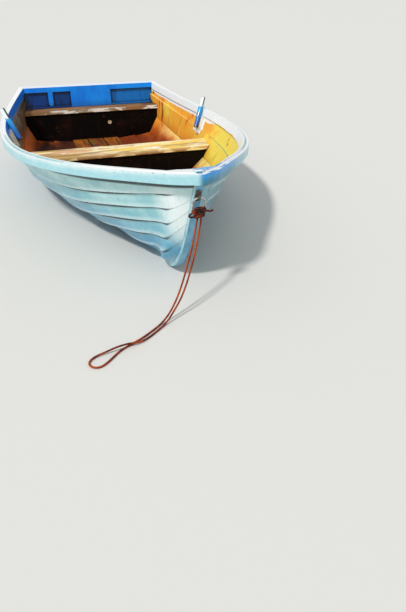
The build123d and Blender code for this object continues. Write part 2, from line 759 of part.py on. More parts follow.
# Painter: a knot on the ring and one rope, down to the ground, round a loop and back
knot_z = ring_centre.Z - ring_radius
behind_knot = [stem_face(share).Y for share in face_shares
               if abs(stem_face(share).Z - knot_z) < knot_height / 2]
knot_y = min(behind_knot) - knot_radius - glue_gap
knot = fillet(Cylinder(knot_radius, knot_height).edges().filter_by(GeomType.CIRCLE), knot_round)
knot = Pos(0, knot_y, knot_z) * knot - ring_shape(ring_wire + glue_gap)
save("painter_knot", knot)
knot_under = knot_z - knot_height / 2
print("knot", knot_y, knot_under)
painter_route = [
    (-8, -1256, 430), (-21, -1268, 380), (-36, -1281, 320), (-55, -1292, 259), (-75, -1302, 199),
    (-96, -1312, 141), (-121, -1323, 88), (-153, -1337, 40), (-193, -1354, 5), (-247, -1397, 5),
    (-303, -1438, 5), (-357, -1466, 5), (-403, -1491, 5), (-436, -1521, 5), (-466, -1551, 5),
    (-499, -1576, 5), (-525, -1575, 5), (-542, -1555, 5), (-540, -1529, 5), (-512, -1505, 6),
    (-468, -1497, 12), (-422, -1490, 22), (-368, -1480, 22), (-322, -1470, 9), (-276, -1442, 5),
    (-228, -1404, 5), (-180, -1366, 7), (-142, -1347, 45), (-106, -1336, 96), (-80, -1326, 149),
    (-59, -1315, 205), (-39, -1304, 263), (-21, -1291, 323), (-5, -1277, 381), (8, -1256, 430),
]
route = [Vector(*point) for point in painter_route]
route[0] = Vector(-strand_apart, knot_y, knot_under - rope_gap)
route[-1] = Vector(strand_apart, knot_y, knot_under - rope_gap)
radii = []
for before, point, after in zip(route, route[1:], route[2:]):
    turn = (point - before).get_angle(after - point)
    shorter = min((point - before).length, (after - point).length)
    radii.append(rope_share * shorter / math.tan(math.radians(turn / 2)))
print("painter radii", [round(radius) for radius in radii])
path = FilletPolyline(*route, radius=radii)
start = Plane(origin=path @ 0, z_dir=path % 0)
painter = sweep(start * Circle(rope_diameter / 2), path=path)
section_area = math.pi * rope_diameter**2 / 4
print("painter length", round(path.length), "volume share", painter.volume / section_area / path.length)
save("painter", painter)
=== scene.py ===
import bpy
import json
import math
import random
from mathutils import Matrix, Vector

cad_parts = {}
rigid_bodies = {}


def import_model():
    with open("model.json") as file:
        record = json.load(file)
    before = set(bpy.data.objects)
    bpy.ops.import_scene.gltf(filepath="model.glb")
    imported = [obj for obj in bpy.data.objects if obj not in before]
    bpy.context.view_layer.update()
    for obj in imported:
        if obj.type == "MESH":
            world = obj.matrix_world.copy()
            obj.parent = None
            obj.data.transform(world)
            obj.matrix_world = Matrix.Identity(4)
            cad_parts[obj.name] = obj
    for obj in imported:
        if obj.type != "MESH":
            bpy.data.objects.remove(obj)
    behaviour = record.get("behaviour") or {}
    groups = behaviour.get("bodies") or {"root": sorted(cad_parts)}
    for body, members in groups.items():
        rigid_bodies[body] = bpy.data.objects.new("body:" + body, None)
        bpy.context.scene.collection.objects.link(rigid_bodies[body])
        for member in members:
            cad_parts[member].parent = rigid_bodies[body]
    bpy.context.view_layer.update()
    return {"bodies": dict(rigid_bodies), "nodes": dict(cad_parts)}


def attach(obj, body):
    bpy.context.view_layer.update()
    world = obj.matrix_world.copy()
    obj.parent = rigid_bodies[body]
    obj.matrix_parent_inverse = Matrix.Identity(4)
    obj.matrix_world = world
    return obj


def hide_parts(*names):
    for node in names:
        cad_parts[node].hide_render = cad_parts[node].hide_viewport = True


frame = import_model()
nodes = frame["nodes"]
boatBody = next(iter(frame["bodies"]))
print("frame loaded:", len(nodes), "nodes on", boatBody)

# The camera of the photograph, in the boat's own frame: metres, +Y aft, +X to port
photoCamera = {"place": (-0.762, -3.389, 1.417), "yaw": 20.3, "down": 32.1, "roll": 1.5,
               "focalPixels": 590.5, "imageHeight": 612, "filmWidth": 36}


def placeCamera(facts):
    yaw, down, roll = (math.radians(facts[key]) for key in ("yaw", "down", "roll"))
    ahead = Vector((math.sin(yaw) * math.cos(down), math.cos(yaw) * math.cos(down), -math.sin(down)))
    level = Vector((math.cos(yaw), -math.sin(yaw), 0))
    upright = level.cross(ahead)
    right = level * math.cos(roll) + upright * math.sin(roll)
    above = upright * math.cos(roll) - level * math.sin(roll)
    lens = bpy.data.cameras.new("photoCamera")
    lens.sensor_width = facts["filmWidth"]
    lens.lens = facts["focalPixels"] / facts["imageHeight"] * facts["filmWidth"]
    camera = bpy.data.objects.new("photoCamera", lens)
    bpy.context.scene.collection.objects.link(camera)
    turn = Matrix((right, above, -ahead)).transposed().to_4x4()
    camera.matrix_world = Matrix.Translation(facts["place"]) @ turn
    bpy.context.scene.camera = camera


placeCamera(photoCamera)

# Soft studio light from ahead and to starboard, as in the photograph
lighting = {"skyColour": (0.93, 0.97, 1.0), "skyStrength": 0.56, "sunColour": (1.0, 0.985, 0.95),
            "sunStrength": 2.1, "sunSpread": 5, "sunFrom": (-0.66, -0.55, 1.0)}


def lightScene(facts):
    world = bpy.data.worlds.new("studioSky")
    world.use_nodes = True
    sky = world.node_tree.nodes["Background"]
    sky.inputs["Color"].default_value = (*facts["skyColour"], 1)
    sky.inputs["Strength"].default_value = facts["skyStrength"]
    bpy.context.scene.world = world
    lamp = bpy.data.lights.new("softSun", "SUN")
    lamp.energy = facts["sunStrength"]
    lamp.angle = math.radians(facts["sunSpread"])
    lamp.color = facts["sunColour"]
    sun = bpy.data.objects.new("softSun", lamp)
    bpy.context.scene.collection.objects.link(sun)
    sun.rotation_mode = "QUATERNION"
    sun.rotation_quaternion = Vector(facts["sunFrom"]).to_track_quat("Z", "Y")


lightScene(lighting)
bpy.context.scene.view_settings.view_transform = "Standard"
print("camera and light placed")

screenCurve = {"full": 255, "darkEnd": 0.04045, "darkSlope": 12.92, "lift": 0.055, "power": 2.4}


def srgb(*levels):
    # A colour as a paint chart gives it, 0 to 255, made linear for the shader
    curve, linear = screenCurve, []
    for level in levels:
        share = level / curve["full"]
        if share <= curve["darkEnd"]:
            linear.append(share / curve["darkSlope"])
        else:
            linear.append(((share + curve["lift"]) / (1 + curve["lift"])) ** curve["power"])
    return (*linear, 1)


class Finish:
    # One material and the few kinds of node that the finishes below are mixed from. Names of
    # colours, noises and ranges are looked up in the dictionary of the piece.
    constants = {"metallic": "Metallic", "coat": "Coat Weight", "specular": "Specular IOR Level"}
    plainNoise = {"stretch": (1, 1, 1), "detail": 3.0, "roughness": 0.55, "shift": (0, 0, 0), "twist": 0.0}
    noiseMiddle = 0.5
    cornerSamples = 12
    edgeSamples = 6
    spotCore = 0.65  # share of a spot's radius inside its soft rim
    reach = 1.35  # the curves of awayFrom end this far from the middle of the boat

    def __init__(self, name, facts):
        self.facts = facts
        self.material = bpy.data.materials.new(name)
        self.material.use_nodes = True
        self.tree = self.material.node_tree
        self.shader = self.tree.nodes["Principled BSDF"]
        for key, socket in self.constants.items():
            if key in facts:
                self.shader.inputs[socket].default_value = facts[key]
        coordinates = self.tree.nodes.new("ShaderNodeTexCoord")
        self.place = coordinates.outputs["Object"]
        self.x, self.y, self.z = self.split(self.place)
        facing = self.tree.nodes.new("ShaderNodeNewGeometry")
        self.facing = self.split(facing.outputs["True Normal"])

    def feed(self, socket, value):
        if isinstance(value, bpy.types.NodeSocket):
            self.tree.links.new(value, socket)
        elif value is not None:
            socket.default_value = value

    def split(self, vector):
        node = self.tree.nodes.new("ShaderNodeSeparateXYZ")
        self.feed(node.inputs[0], vector)
        return node.outputs["X"], node.outputs["Y"], node.outputs["Z"]

    def maths(self, operation, *values):
        node = self.tree.nodes.new("ShaderNodeMath")
        node.operation = operation
        for socket, value in zip(node.inputs, values):
            self.feed(socket, value)
        return node.outputs[0]

    def times(self, first, *others):
        for other in others:
            first = self.maths("MULTIPLY", first, other)
        return first

    def moved(self, value, noise, spread):
        # The value plus up to its spread, unevenly over the boat
        return self.maths("MULTIPLY_ADD", noise, self.facts[spread], value)

    def step(self, value, low, high, fromShare=0.0, toShare=1.0):
        # A smooth change from one share to another while the value goes from low to high
        node = self.tree.nodes.new("ShaderNodeMapRange")
        node.interpolation_type = "SMOOTHSTEP"
        for name, part in (("Value", value), ("From Min", low), ("From Max", high),
                           ("To Min", fromShare), ("To Max", toShare)):
            self.feed(node.inputs[name], part)
        return node.outputs[0]

    def share(self, value, span):
        return self.step(value, *self.facts[span])

    def paint(self, under, over, share):
        # One colour over another, by the share that it covers
        node = self.tree.nodes.new("ShaderNodeMix")
        node.data_type = "RGBA"
        colours = [self.facts[part] if isinstance(part, str) else part for part in (under, over)]
        for socket, value in zip([socket for socket in node.inputs if socket.enabled], (share, *colours)):
            self.feed(socket, value)
        return next(socket for socket in node.outputs if socket.enabled)

    def noise(self, name):
        # Noise over the boat; stretch draws it out along an axis where its number is small
        facts = {**self.plainNoise, **self.facts[name]}
        mapping = self.tree.nodes.new("ShaderNodeMapping")
        self.feed(mapping.inputs["Vector"], self.place)
        mapping.inputs["Scale"].default_value = facts["stretch"]
        mapping.inputs["Location"].default_value = facts["shift"]
        node = self.tree.nodes.new("ShaderNodeTexNoise")
        self.feed(node.inputs["Vector"], mapping.outputs[0])
        for socket, key in (("Scale", "scale"), ("Detail", "detail"), ("Roughness", "roughness"),
                            ("Distortion", "twist")):
            node.inputs[socket].default_value = facts[key]
        return node.outputs["Fac"]

    def patches(self, name, span):
        return self.share(self.noise(name), span)

    def evenNoise(self, name):
        # Noise that is as often below nothing as above it
        return self.maths("SUBTRACT", self.noise(name), self.noiseMiddle)

    def awayFrom(self, line):
        # Distance across the boat from a line that runs along it, the same on either side
        curves = self.tree.nodes.new("ShaderNodeVectorCurve")
        for axis in (0, 2):
            curve = curves.mapping.curves[axis]
            curve.points[0].location = (-1, line[0][axis] / self.reach)
            curve.points[1].location = (1, line[-1][axis] / self.reach)
            for place in line:
                curve.points.new(place.y / self.reach, place[axis] / self.reach)
            for point in curve.points:
                point.handle_type = "VECTOR"
        curves.mapping.update()
        along = self.maths("DIVIDE", self.y, self.reach)
        vector = self.tree.nodes.new("ShaderNodeCombineXYZ")
        self.feed(vector.inputs["X"], along)
        self.feed(vector.inputs["Z"], along)
        self.feed(curves.inputs["Vector"], vector.outputs[0])
        lineX, _, lineZ = self.split(curves.outputs[0])
        across = self.maths("MULTIPLY_ADD", lineX, -self.reach, self.maths("ABSOLUTE", self.x))
        upward = self.maths("MULTIPLY_ADD", lineZ, -self.reach, self.z)
        return self.maths("SQRT", self.maths("MULTIPLY_ADD", across, across, self.times(upward, upward)))

    def spot(self, place, radius):
        # 1 within a radius of a place, fading over its outer third
        node = self.tree.nodes.new("ShaderNodeVectorMath")
        node.operation = "DISTANCE"
        self.feed(node.inputs[0], self.place)
        node.inputs[1].default_value = place
        return self.step(node.outputs["Value"], radius, radius * self.spotCore)

    def corners(self, name):
        # How much painted shade and dirt lies in the corners where pieces meet, none out in the open
        facts = self.facts[name]
        node = self.tree.nodes.new("ShaderNodeAmbientOcclusion")
        node.samples = self.cornerSamples
        node.inputs["Distance"].default_value = facts["reach"]
        return self.step(node.outputs["AO"], facts["closed"], facts["open"], facts.get("most", 1.0), 0.0)

    def finish(self, colour, roughness, height=None):
        self.feed(self.shader.inputs["Base Color"], colour)
        self.feed(self.shader.inputs["Roughness"], roughness)
        normal = None
        if "edge" in self.facts:
            rounding = self.tree.nodes.new("ShaderNodeBevel")
            rounding.samples = self.edgeSamples
            rounding.inputs["Radius"].default_value = self.facts["edge"]
            normal = rounding.outputs[0]
        if height is not None:
            bump = self.tree.nodes.new("ShaderNodeBump")
            bump.inputs["Distance"].default_value = self.facts["relief"]
            self.feed(bump.inputs["Height"], height)
            self.feed(bump.inputs["Normal"], normal)
            normal = bump.outputs[0]
        self.feed(self.shader.inputs["Normal"], normal)
        return self.material


def dress(material, *names):
    for name in names:
        stem = name.rstrip("*")
        for key, node in nodes.items():
            if key == name or (name.endswith("*") and key.startswith(stem)):
                node.data.materials.clear()
                node.data.materials.append(material)


# The sheer line as the boat was built: heights above the keel and shares of the length
sheer = {"bow": 0.621, "low": 0.4027, "stern": 0.45, "lowShare": 0.771, "spring": 2.27, "sternSpring": 2.0,
         "fore": -1.278, "length": 2.57}


def belowSheer(mix, facts):
    # How far a point lies below the line of the sheer, in metres
    share = mix.maths("DIVIDE", mix.maths("SUBTRACT", mix.y, facts["fore"]), facts["length"])
    ahead = mix.maths("SUBTRACT", 1.0, mix.maths("DIVIDE", share, facts["lowShare"]))
    ahead = mix.maths("MAXIMUM", ahead, 0.0)
    rise = mix.times(mix.maths("POWER", ahead, facts["spring"]), facts["bow"] - facts["low"])
    behind = mix.maths("SUBTRACT", share, facts["lowShare"])
    behind = mix.maths("MAXIMUM", mix.maths("DIVIDE", behind, 1 - facts["lowShare"]), 0.0)
    lift = mix.times(mix.maths("POWER", behind, facts["sternSpring"]), facts["stern"] - facts["low"])
    height = mix.maths("ADD", mix.maths("ADD", rise, lift), facts["low"])
    return mix.maths("SUBTRACT", height, mix.z)


# Lengths are metres. A range of two numbers is where a share goes from 0 to 1, and the two
# after them, where they are given, are the shares that it goes between.
planking = {
    "levels": 6, "stations": 26, "coat": 0.15, "edge": 0.002, "relief": 0.0009,
    # Outside
    "paleBlue": srgb(140, 200, 208), "freshBlue": srgb(186, 228, 232), "lowBlue": srgb(66, 158, 198),
    "shadeBlue": srgb(74, 146, 168), "bowHighlight": srgb(246, 255, 255), "landShadow": srgb(22, 42, 50),
    "landHighlight": srgb(226, 246, 248), "grime": srgb(52, 76, 84), "bareWood": srgb(176, 150, 112),
    "mottle": {"scale": 5.0, "stretch": (1, 1, 1.6)}, "mottled": (0.36, 0.66),
    "lowNoise": {"scale": 7.0, "shift": (3, 1, 2)}, "lowSpread": 0.16, "lowHeight": (0.46, 0.15),
    "portSide": (0.0, 0.02), "portBow": (-0.3, -0.9, 0.0, 0.75),
    "smoothLow": (0.22, 0.40), "smoothHigh": (0.66, 0.54), "smoothFore": (-0.98, -1.14, 0.0, 0.85),
    "sunlitSide": (0.0, -0.005),
    "streak": {"scale": 26.0, "stretch": (1, 1, 0.14), "detail": 4.0, "shift": (1, 5, 0)},
    "streaked": (0.56, 0.76, 0.0, 0.16), "outsideRough": (0.3, 0.7, 0.26, 0.42), "insideRougher": 0.28,
    "highlightEdge": (0.028, 0.002, 0.0, 0.55), "highlightEnd": 0.08,
    "chip": {"scale": 58.0, "stretch": (1, 0.6, 1), "detail": 2.0, "shift": (8, 2, 4)},
    "chippedEdge": (0.010, 0.003, 0.0, 0.05), "chipLimit": (0.05, 0.50, 0.690, 0.730),
    "chipRim": (0.0, 0.02),
    # The painted shadow line under each land, by the level of the plank, and how far forward each lap
    # shows
    "lineWidth": {1: 0.026, 2: 0.024, 3: 0.021, 4: 0.018, 5: 0.016}, "lineRim": 0.006,
    "lineTaper": 0.42, "thinnest": 0.58, "lineFade": (-0.015, 0.06),
    "landEnds": {1: -1.00, 2: -1.03, 3: -1.067, 4: -1.098, 5: -1.124, 6: -1.156},
    "railLineTop": (0.036, 0.040), "railLineFoot": (0.067, 0.057),
    "lineNoise": {"scale": 22.0, "stretch": (1, 0.4, 1)}, "lineStrength": (0.2, 0.45, 0.75, 0.97),
    "brush": {"scale": 34.0, "stretch": (1, 0.16, 1)}, "chipDepth": 0.4,
    # Inside
    "insideTilt": -0.55, "inwardTurn": (-0.02, -0.10),
    "yellow": srgb(255, 231, 86), "ochre": srgb(255, 178, 52), "rust": srgb(220, 104, 18),
    "bottom": srgb(120, 44, 4), "bottomShade": srgb(50, 16, 6), "brown": srgb(112, 46, 12),
    "ledgeHighlight": srgb(255, 238, 150), "olive": srgb(88, 80, 54), "grey": srgb(136, 132, 112),
    "white": srgb(255, 255, 254), "quarterShadeBlue": srgb(0, 138, 250), "hole": srgb(120, 34, 4),
    "wear": {"scale": 4.2, "stretch": (1, 1, 0.8), "detail": 5.0, "roughness": 0.62, "shift": (2, 7, 1),
             "twist": 0.4},
    "aftWear": (0.10, 0.62, 0.0, 0.24), "yellowGone": (0.50, 0.72),
    "lowerSpread": 0.20, "rustHeight": (0.34, 0.19),
    "run": {"scale": 19.0, "stretch": (1, 1, 0.10), "detail": 4.0, "roughness": 0.6, "shift": (4, 0, 3),
            "twist": 0.3},
    "aftRuns": (0.30, 0.70, 0.0, 0.035), "rustRuns": (0.60, 0.70, 0.0, 0.75),
    "brownRuns": (0.63, 0.72, 0.0, 0.85),
    "light": {"scale": 13.0, "stretch": (1, 1, 0.25), "shift": (6, 3, 9)}, "lit": (0.60, 0.74, 0.0, 0.6),
    "greyed": (0.42, 0.60), "shadedRuns": (0.50, 0.62, 0.0, 0.85), "shadedRust": (0.34, 0.20),
    "starboard": (0.02, -0.02), "shadedAft": (-0.20, 0.35),
    "dirt": {"scale": 9.0, "stretch": (1, 0.6, 1), "detail": 5.0, "roughness": 0.65, "shift": (9, 4, 2)},
    "dirtSpread": 0.16, "dirtHeight": (0.24, 0.13), "bottomSide": (-0.02, -0.30),
    "cornerShadeAndDirt": {"reach": 0.016, "closed": 0.30, "open": 0.75},
    "upwards": (0.5, 0.75), "ledgeHeight": (0.10, 0.16), "portHalf": (-0.02, 0.02),
    "ledgeHighlightPatches": (0.36, 0.52, 0.35, 0.9),
    # White round the blocks and in a band under the inwale, and one hole
    "brushed": {"scale": 24.0, "stretch": (1, 1, 0.5), "detail": 4.0}, "brushedRim": 0.030,
    "blockY": 0.532, "blockReach": (0.066, 0.062), "blockFoot": (0.252, 0.258),
    "ragged": {"scale": 9.0, "stretch": (1, 1, 0.7), "detail": 5.0}, "raggedRim": 0.030,
    "bandReach": (0.12, 0.45, 0.032, 0.066), "bandRim": (0.003, -0.003), "blueBand": (0.067, 0.064),
    "blueAft": (0.20, 0.24), "nearTop": (0.03, 0.01),
    "holePlace": (0.4935, 1.236, 0.373), "holeRadius": 0.012,
}


def lowerCorner(node, stations):
    # The lower outer corner of a plank at even stations along it
    places = [vertex.co for vertex in node.data.vertices]
    spans = [[places[index] for index in edge.vertices] for edge in node.data.edges]
    first, last = min(place.y for place in places), max(place.y for place in places)
    corner = []
    for number in range(stations):
        y = first + (last - first) * (number + 0.5) / stations
        cuts = [start.lerp(stop, (y - start.y) / (stop.y - start.y)) for start, stop in spans
                if (start.y - y) * (stop.y - y) < 0]
        corner.append(min(cuts, key=lambda cut: cut.z))
    return corner


def insideFaces(mix):
    # 1 on faces that look into the boat, 0 on the outside, for planks of either side
    outward = mix.times(mix.facing[0], mix.maths("SIGN", mix.x))
    return mix.share(mix.moved(outward, mix.facing[2], "insideTilt"), "inwardTurn")


def landShade(mix, level, landAbove):
    # The painted shadow line under a land thins towards the stem, where the lap dies out; the top plank
    # has its painted shadow line under the rubbing rail
    facts = mix.facts
    if landAbove:
        width, end = facts["lineWidth"][level], facts["landEnds"][level + 1]
        taper = mix.step(mix.y, end, end + facts["lineTaper"], facts["thinnest"], 1.0)
        away = mix.maths("DIVIDE", mix.awayFrom(landAbove), taper)
        line = mix.step(away, width + facts["lineRim"], width)
        line = mix.times(line, mix.step(mix.y, *(end + past for past in facts["lineFade"])))
    else:
        below = belowSheer(mix, sheer)
        line = mix.times(mix.share(below, "railLineFoot"), mix.share(below, "railLineTop"))
    return mix.times(line, mix.patches("lineNoise", "lineStrength"))


def outsidePaint(mix, level, ownLand, landAbove):
    # Pale blue gloss, bluer towards the keel, with a painted shadow line under every land
    colour = mix.paint("paleBlue", "freshBlue", mix.patches("mottle", "mottled"))
    low = mix.moved(mix.z, mix.noise("lowNoise"), "lowSpread")
    colour = mix.paint(colour, "lowBlue", mix.share(low, "lowHeight"))
    # Painted shade on the port bow
    portBow = mix.times(mix.share(mix.x, "portSide"), mix.share(mix.y, "portBow"))
    colour = mix.paint(colour, "shadeBlue", portBow)
    # The smooth stem on the sunlit side, where the laps have died out, gets an almost white painted
    # highlight
    smooth = mix.times(mix.share(low, "smoothLow"), mix.share(low, "smoothHigh"),
                       mix.share(mix.y, "smoothFore"), mix.share(mix.x, "sunlitSide"))
    colour = mix.paint(colour, "bowHighlight", smooth)
    streaks = mix.noise("streak")
    colour = mix.paint(colour, "grime", mix.share(streaks, "streaked"))
    # The proud lower edge of each plank gets a painted highlight, and it is chipped most there
    fromOwn, end = mix.awayFrom(ownLand), mix.facts["landEnds"][level]
    paintedHighlight = mix.times(mix.share(fromOwn, "highlightEdge"),
                         mix.step(mix.y, end, end + mix.facts["highlightEnd"]))
    colour = mix.paint(colour, "landHighlight", paintedHighlight)
    chips = mix.noise("chip")
    limit = mix.maths("SUBTRACT", mix.share(mix.z, "chipLimit"), mix.share(fromOwn, "chippedEdge"))
    colour = mix.paint(colour, "bareWood", mix.share(mix.maths("SUBTRACT", chips, limit), "chipRim"))
    # Painted shadow under the land above
    return mix.paint(colour, "landShadow", landShade(mix, level, landAbove)), streaks, chips


def wornPaint(mix):
    # Worn yellow over ochre and rust, more of it gone lower down and aft, and painted shade in olive
    # and grey in the starboard quarter
    worn, runs, lights = mix.noise("wear"), mix.noise("run"), mix.noise("light")
    lower = mix.moved(mix.z, worn, "lowerSpread")
    yellowLoss = mix.maths("ADD", mix.share(mix.y, "aftWear"), worn)
    colour = mix.paint("yellow", "ochre", mix.share(yellowLoss, "yellowGone"))
    colour = mix.paint(colour, "rust", mix.share(lower, "rustHeight"))
    stained = mix.maths("ADD", mix.share(mix.y, "aftRuns"), runs)
    colour = mix.paint(colour, "rust", mix.share(stained, "rustRuns"))
    colour = mix.paint(colour, "brown", mix.share(runs, "brownRuns"))
    colour = mix.paint(colour, "yellow", mix.share(lights, "lit"))
    # Painted shade for the starboard quarter: olive and grey, with brown runs and rust low down
    shaded = mix.paint("olive", "grey", mix.share(worn, "greyed"))
    shaded = mix.paint(shaded, "brown", mix.share(runs, "shadedRuns"))
    shaded = mix.paint(shaded, "rust", mix.share(lower, "shadedRust"))
    quarter = mix.times(mix.share(mix.x, "starboard"), mix.share(mix.y, "shadedAft"))
    colour = mix.paint(colour, shaded, quarter)
    deep = mix.moved(mix.z, mix.noise("dirt"), "dirtSpread")
    # Painted shade: the bottom is darker to starboard
    bottom = mix.paint("bottom", "bottomShade", mix.share(mix.x, "bottomSide"))
    colour = mix.paint(colour, bottom, mix.share(deep, "dirtHeight"))
    # Painted shade and dirt in the corners, in brown
    colour = mix.paint(colour, "brown", mix.corners("cornerShadeAndDirt"))
    # Painted highlight: the ledge on top of each lap is pale yellow where it faces up, on the port side
    ledgeHighlight = mix.times(mix.share(mix.facing[2], "upwards"), mix.share(mix.z, "ledgeHeight"),
                      mix.share(mix.x, "portHalf"), mix.share(lights, "ledgeHighlightPatches"))
    return mix.paint(colour, "ledgeHighlight", ledgeHighlight)


def insidePaint(mix, top):
    facts, colour = mix.facts, wornPaint(mix)
    # White was brushed on round the blocks that carry the posts
    brushed = mix.evenNoise("brushed")
    beside = mix.maths("ABSOLUTE", mix.maths("SUBTRACT", mix.y, facts["blockY"]))
    patch = mix.times(mix.share(mix.moved(beside, brushed, "brushedRim"), "blockReach"),
                      mix.share(mix.moved(mix.z, brushed, "brushedRim"), "blockFoot"))
    colour = mix.paint(colour, "white", patch)
    if top:
        # A ragged painted band under the inwale: white, with painted shade in blue in the starboard
        # quarter
        below = belowSheer(mix, sheer)
        depth = mix.moved(below, mix.evenNoise("ragged"), "raggedRim")
        past = mix.maths("SUBTRACT", depth, mix.share(mix.y, "bandReach"))
        colour = mix.paint(colour, "white", mix.share(past, "bandRim"))
        inQuarterShade = mix.times(mix.share(mix.x, "starboard"), mix.share(mix.y, "blueAft"),
                           mix.share(depth, "blueBand"))
        colour = mix.paint(colour, "quarterShadeBlue", inQuarterShade)
        onTop = mix.times(mix.share(mix.facing[2], "upwards"), mix.share(below, "nearTop"))
        colour = mix.paint(colour, "white", onTop)
        colour = mix.paint(colour, "hole", mix.spot(facts["holePlace"], facts["holeRadius"]))
    return colour


def hullPaint(facts, level, corners):
    mix = Finish("hullPaint" + str(level), facts)
    landAbove = corners.get(level + 1)
    outside, streaks, chips = outsidePaint(mix, level, corners[level], landAbove)
    indoors = insideFaces(mix)
    colour = mix.paint(outside, insidePaint(mix, landAbove is None), indoors)
    roughness = mix.moved(mix.share(streaks, "outsideRough"), indoors, "insideRougher")
    return mix.finish(colour, roughness, mix.moved(mix.noise("brush"), chips, "chipDepth"))


plankCorners = {level: lowerCorner(nodes["strake_port_" + str(level)], planking["stations"])
                for level in range(1, planking["levels"] + 1)}
for level in plankCorners:
    dress(hullPaint(planking, level, plankCorners), "strake_port_" + str(level),
          "strake_starboard_" + str(level))
print("planking painted")

gunwale = {
    "coat": 0.25, "edge": 0.0045, "relief": 0.0012, "roughSpan": (0.3, 0.7, 0.28, 0.50),
    "white": srgb(252, 255, 255), "cyan": srgb(158, 214, 224), "blue": srgb(0, 160, 240),
    "lowShadeTeal": srgb(20, 132, 168), "paleCyan": srgb(186, 228, 234), "grime": srgb(70, 92, 98),
    "quarterShadeBlue": srgb(0, 122, 240), "yellow": srgb(255, 214, 84),
    "wear": {"scale": 16.0, "stretch": (1, 0.5, 1), "detail": 5.0, "roughness": 0.6},
    "fine": {"scale": 60.0, "stretch": (1, 0.4, 1), "shift": (2, 2, 2)}, "fineDepth": 0.4,
    "edgeSpread": 0.034, "highlightDepth": (-0.002, 0.034, 0.20, 0.95), "flecks": (0.50, 0.66, 0.0, 0.55),
    "bowSpread": 0.35, "bow": (-0.36, -0.90), "portSide": (-0.02, 0.012), "lowOnRail": (0.020, 0.050),
    "blueFade": (-1.06, -0.66), "ochreDepth": (0.050, 0.048), "aftSpread": 0.2, "aftOfPost": (0.32, 0.34),
    "starboard": (0.0, -0.1), "blueAft": (0.20, 0.24), "outward": (-0.5, -0.1), "ahead": (0.0, 0.3),
    "outside": (0.4, 0.6), "upwards": (0.60, 0.80), "blueTop": (-0.9, -1.15),
    "topNoise": {"scale": 9.0}, "topPatches": (0.35, 0.5), "marks": (0.685, 0.74, 0.0, 0.5),
    "cornerShadeAndDirt": {"reach": 0.008, "closed": 0.40, "open": 0.75, "most": 0.35},
}


def railPaint(facts):
    mix = Finish("railPaint", facts)
    wear, fine = mix.noise("wear"), mix.noise("fine")
    # Painted highlight: white above, fading to pale cyan lower on the outside
    edge = mix.moved(belowSheer(mix, sheer), wear, "edgeSpread")
    side = mix.paint("white", "cyan", mix.share(edge, "highlightDepth"))
    side = mix.paint(side, "paleCyan", mix.share(fine, "flecks"))
    # Painted shade: the port bow is blue, teal lower on the rail, fading aft to cyan
    bow = mix.times(mix.share(mix.x, "portSide"), mix.share(mix.moved(mix.y, wear, "bowSpread"), "bow"))
    blue = mix.paint("blue", "lowShadeTeal", mix.share(edge, "lowOnRail"))
    side = mix.paint(side, mix.paint(blue, "cyan", mix.share(mix.y, "blueFade")), bow)
    # Faces that look inboard are white, ochre low down forward of the post, and blue astern as painted
    # shade in the starboard quarter
    inboard = mix.paint("yellow", "white", mix.share(edge, "ochreDepth"))
    inboard = mix.paint(inboard, "white", mix.share(mix.moved(mix.y, wear, "aftSpread"), "aftOfPost"))
    quarter = mix.times(mix.share(mix.x, "starboard"), mix.share(mix.y, "blueAft"))
    inboard = mix.paint(inboard, "quarterShadeBlue", quarter)
    outward = mix.times(mix.facing[0], mix.maths("SIGN", mix.x))
    ahead = mix.maths("MAXIMUM", outward, mix.times(mix.facing[1], -1.0))
    outside = mix.times(mix.share(outward, "outward"), mix.share(ahead, "ahead"))
    side = mix.paint(inboard, side, mix.share(outside, "outside"))
    # Painted highlight: faces that look up are white, with painted shade in blue on the port bow
    above = mix.paint("white", "blue", mix.times(bow, mix.share(mix.y, "blueTop")))
    above = mix.paint("white", above, mix.patches("topNoise", "topPatches"))
    colour = mix.paint(side, above, mix.share(mix.facing[2], "upwards"))
    colour = mix.paint(colour, "grime", mix.share(fine, "marks"))
    # Painted shade and grime in the corners
    colour = mix.paint(colour, "grime", mix.corners("cornerShadeAndDirt"))
    return mix.finish(colour, mix.share(wear, "roughSpan"), mix.moved(wear, fine, "fineDepth"))


dress(railPaint(gunwale), "rubbing_rail_*", "inwale_*", "breasthook")

backbone = {
    "coat": 0.1, "edge": 0.004, "relief": 0.0012, "roughSpan": (0.3, 0.7, 0.32, 0.6),
    "pale": srgb(172, 214, 222), "front": srgb(84, 156, 192), "skyReflection": srgb(60, 170, 226),
    "scraped": srgb(150, 140, 118), "grime": srgb(40, 58, 66), "ochre": srgb(220, 150, 60),
    "rust": srgb(150, 76, 24), "white": srgb(246, 250, 250),
    "wear": {"scale": 14.0, "stretch": (1, 1, 0.6), "detail": 5.0, "roughness": 0.6},
    "facingAhead": (0.75, 0.35), "sideWear": (0.44, 0.66, 0.0, 0.6), "frontWear": (0.40, 0.62, 0.0, 0.4),
    "portEdge": (0.009, 0.012, 0.0, 0.8), "inboardTurn": (0.1, 0.3), "underHead": (0.575, 0.560),
    "ochreWear": (0.40, 0.60), "upwards": (0.3, 0.6), "headHeight": (0.575, 0.590),
    "scrape": {"scale": 40.0, "stretch": (1, 0.2, 1), "detail": 4.0}, "scrapeSpread": 0.06,
    "scrapeHeight": (0.040, 0.028), "cornerShadeAndDirt": {"reach": 0.010, "closed": 0.30, "open": 0.65},
    "grain": {"scale": 50.0, "stretch": (1, 0.3, 0.3)},
}


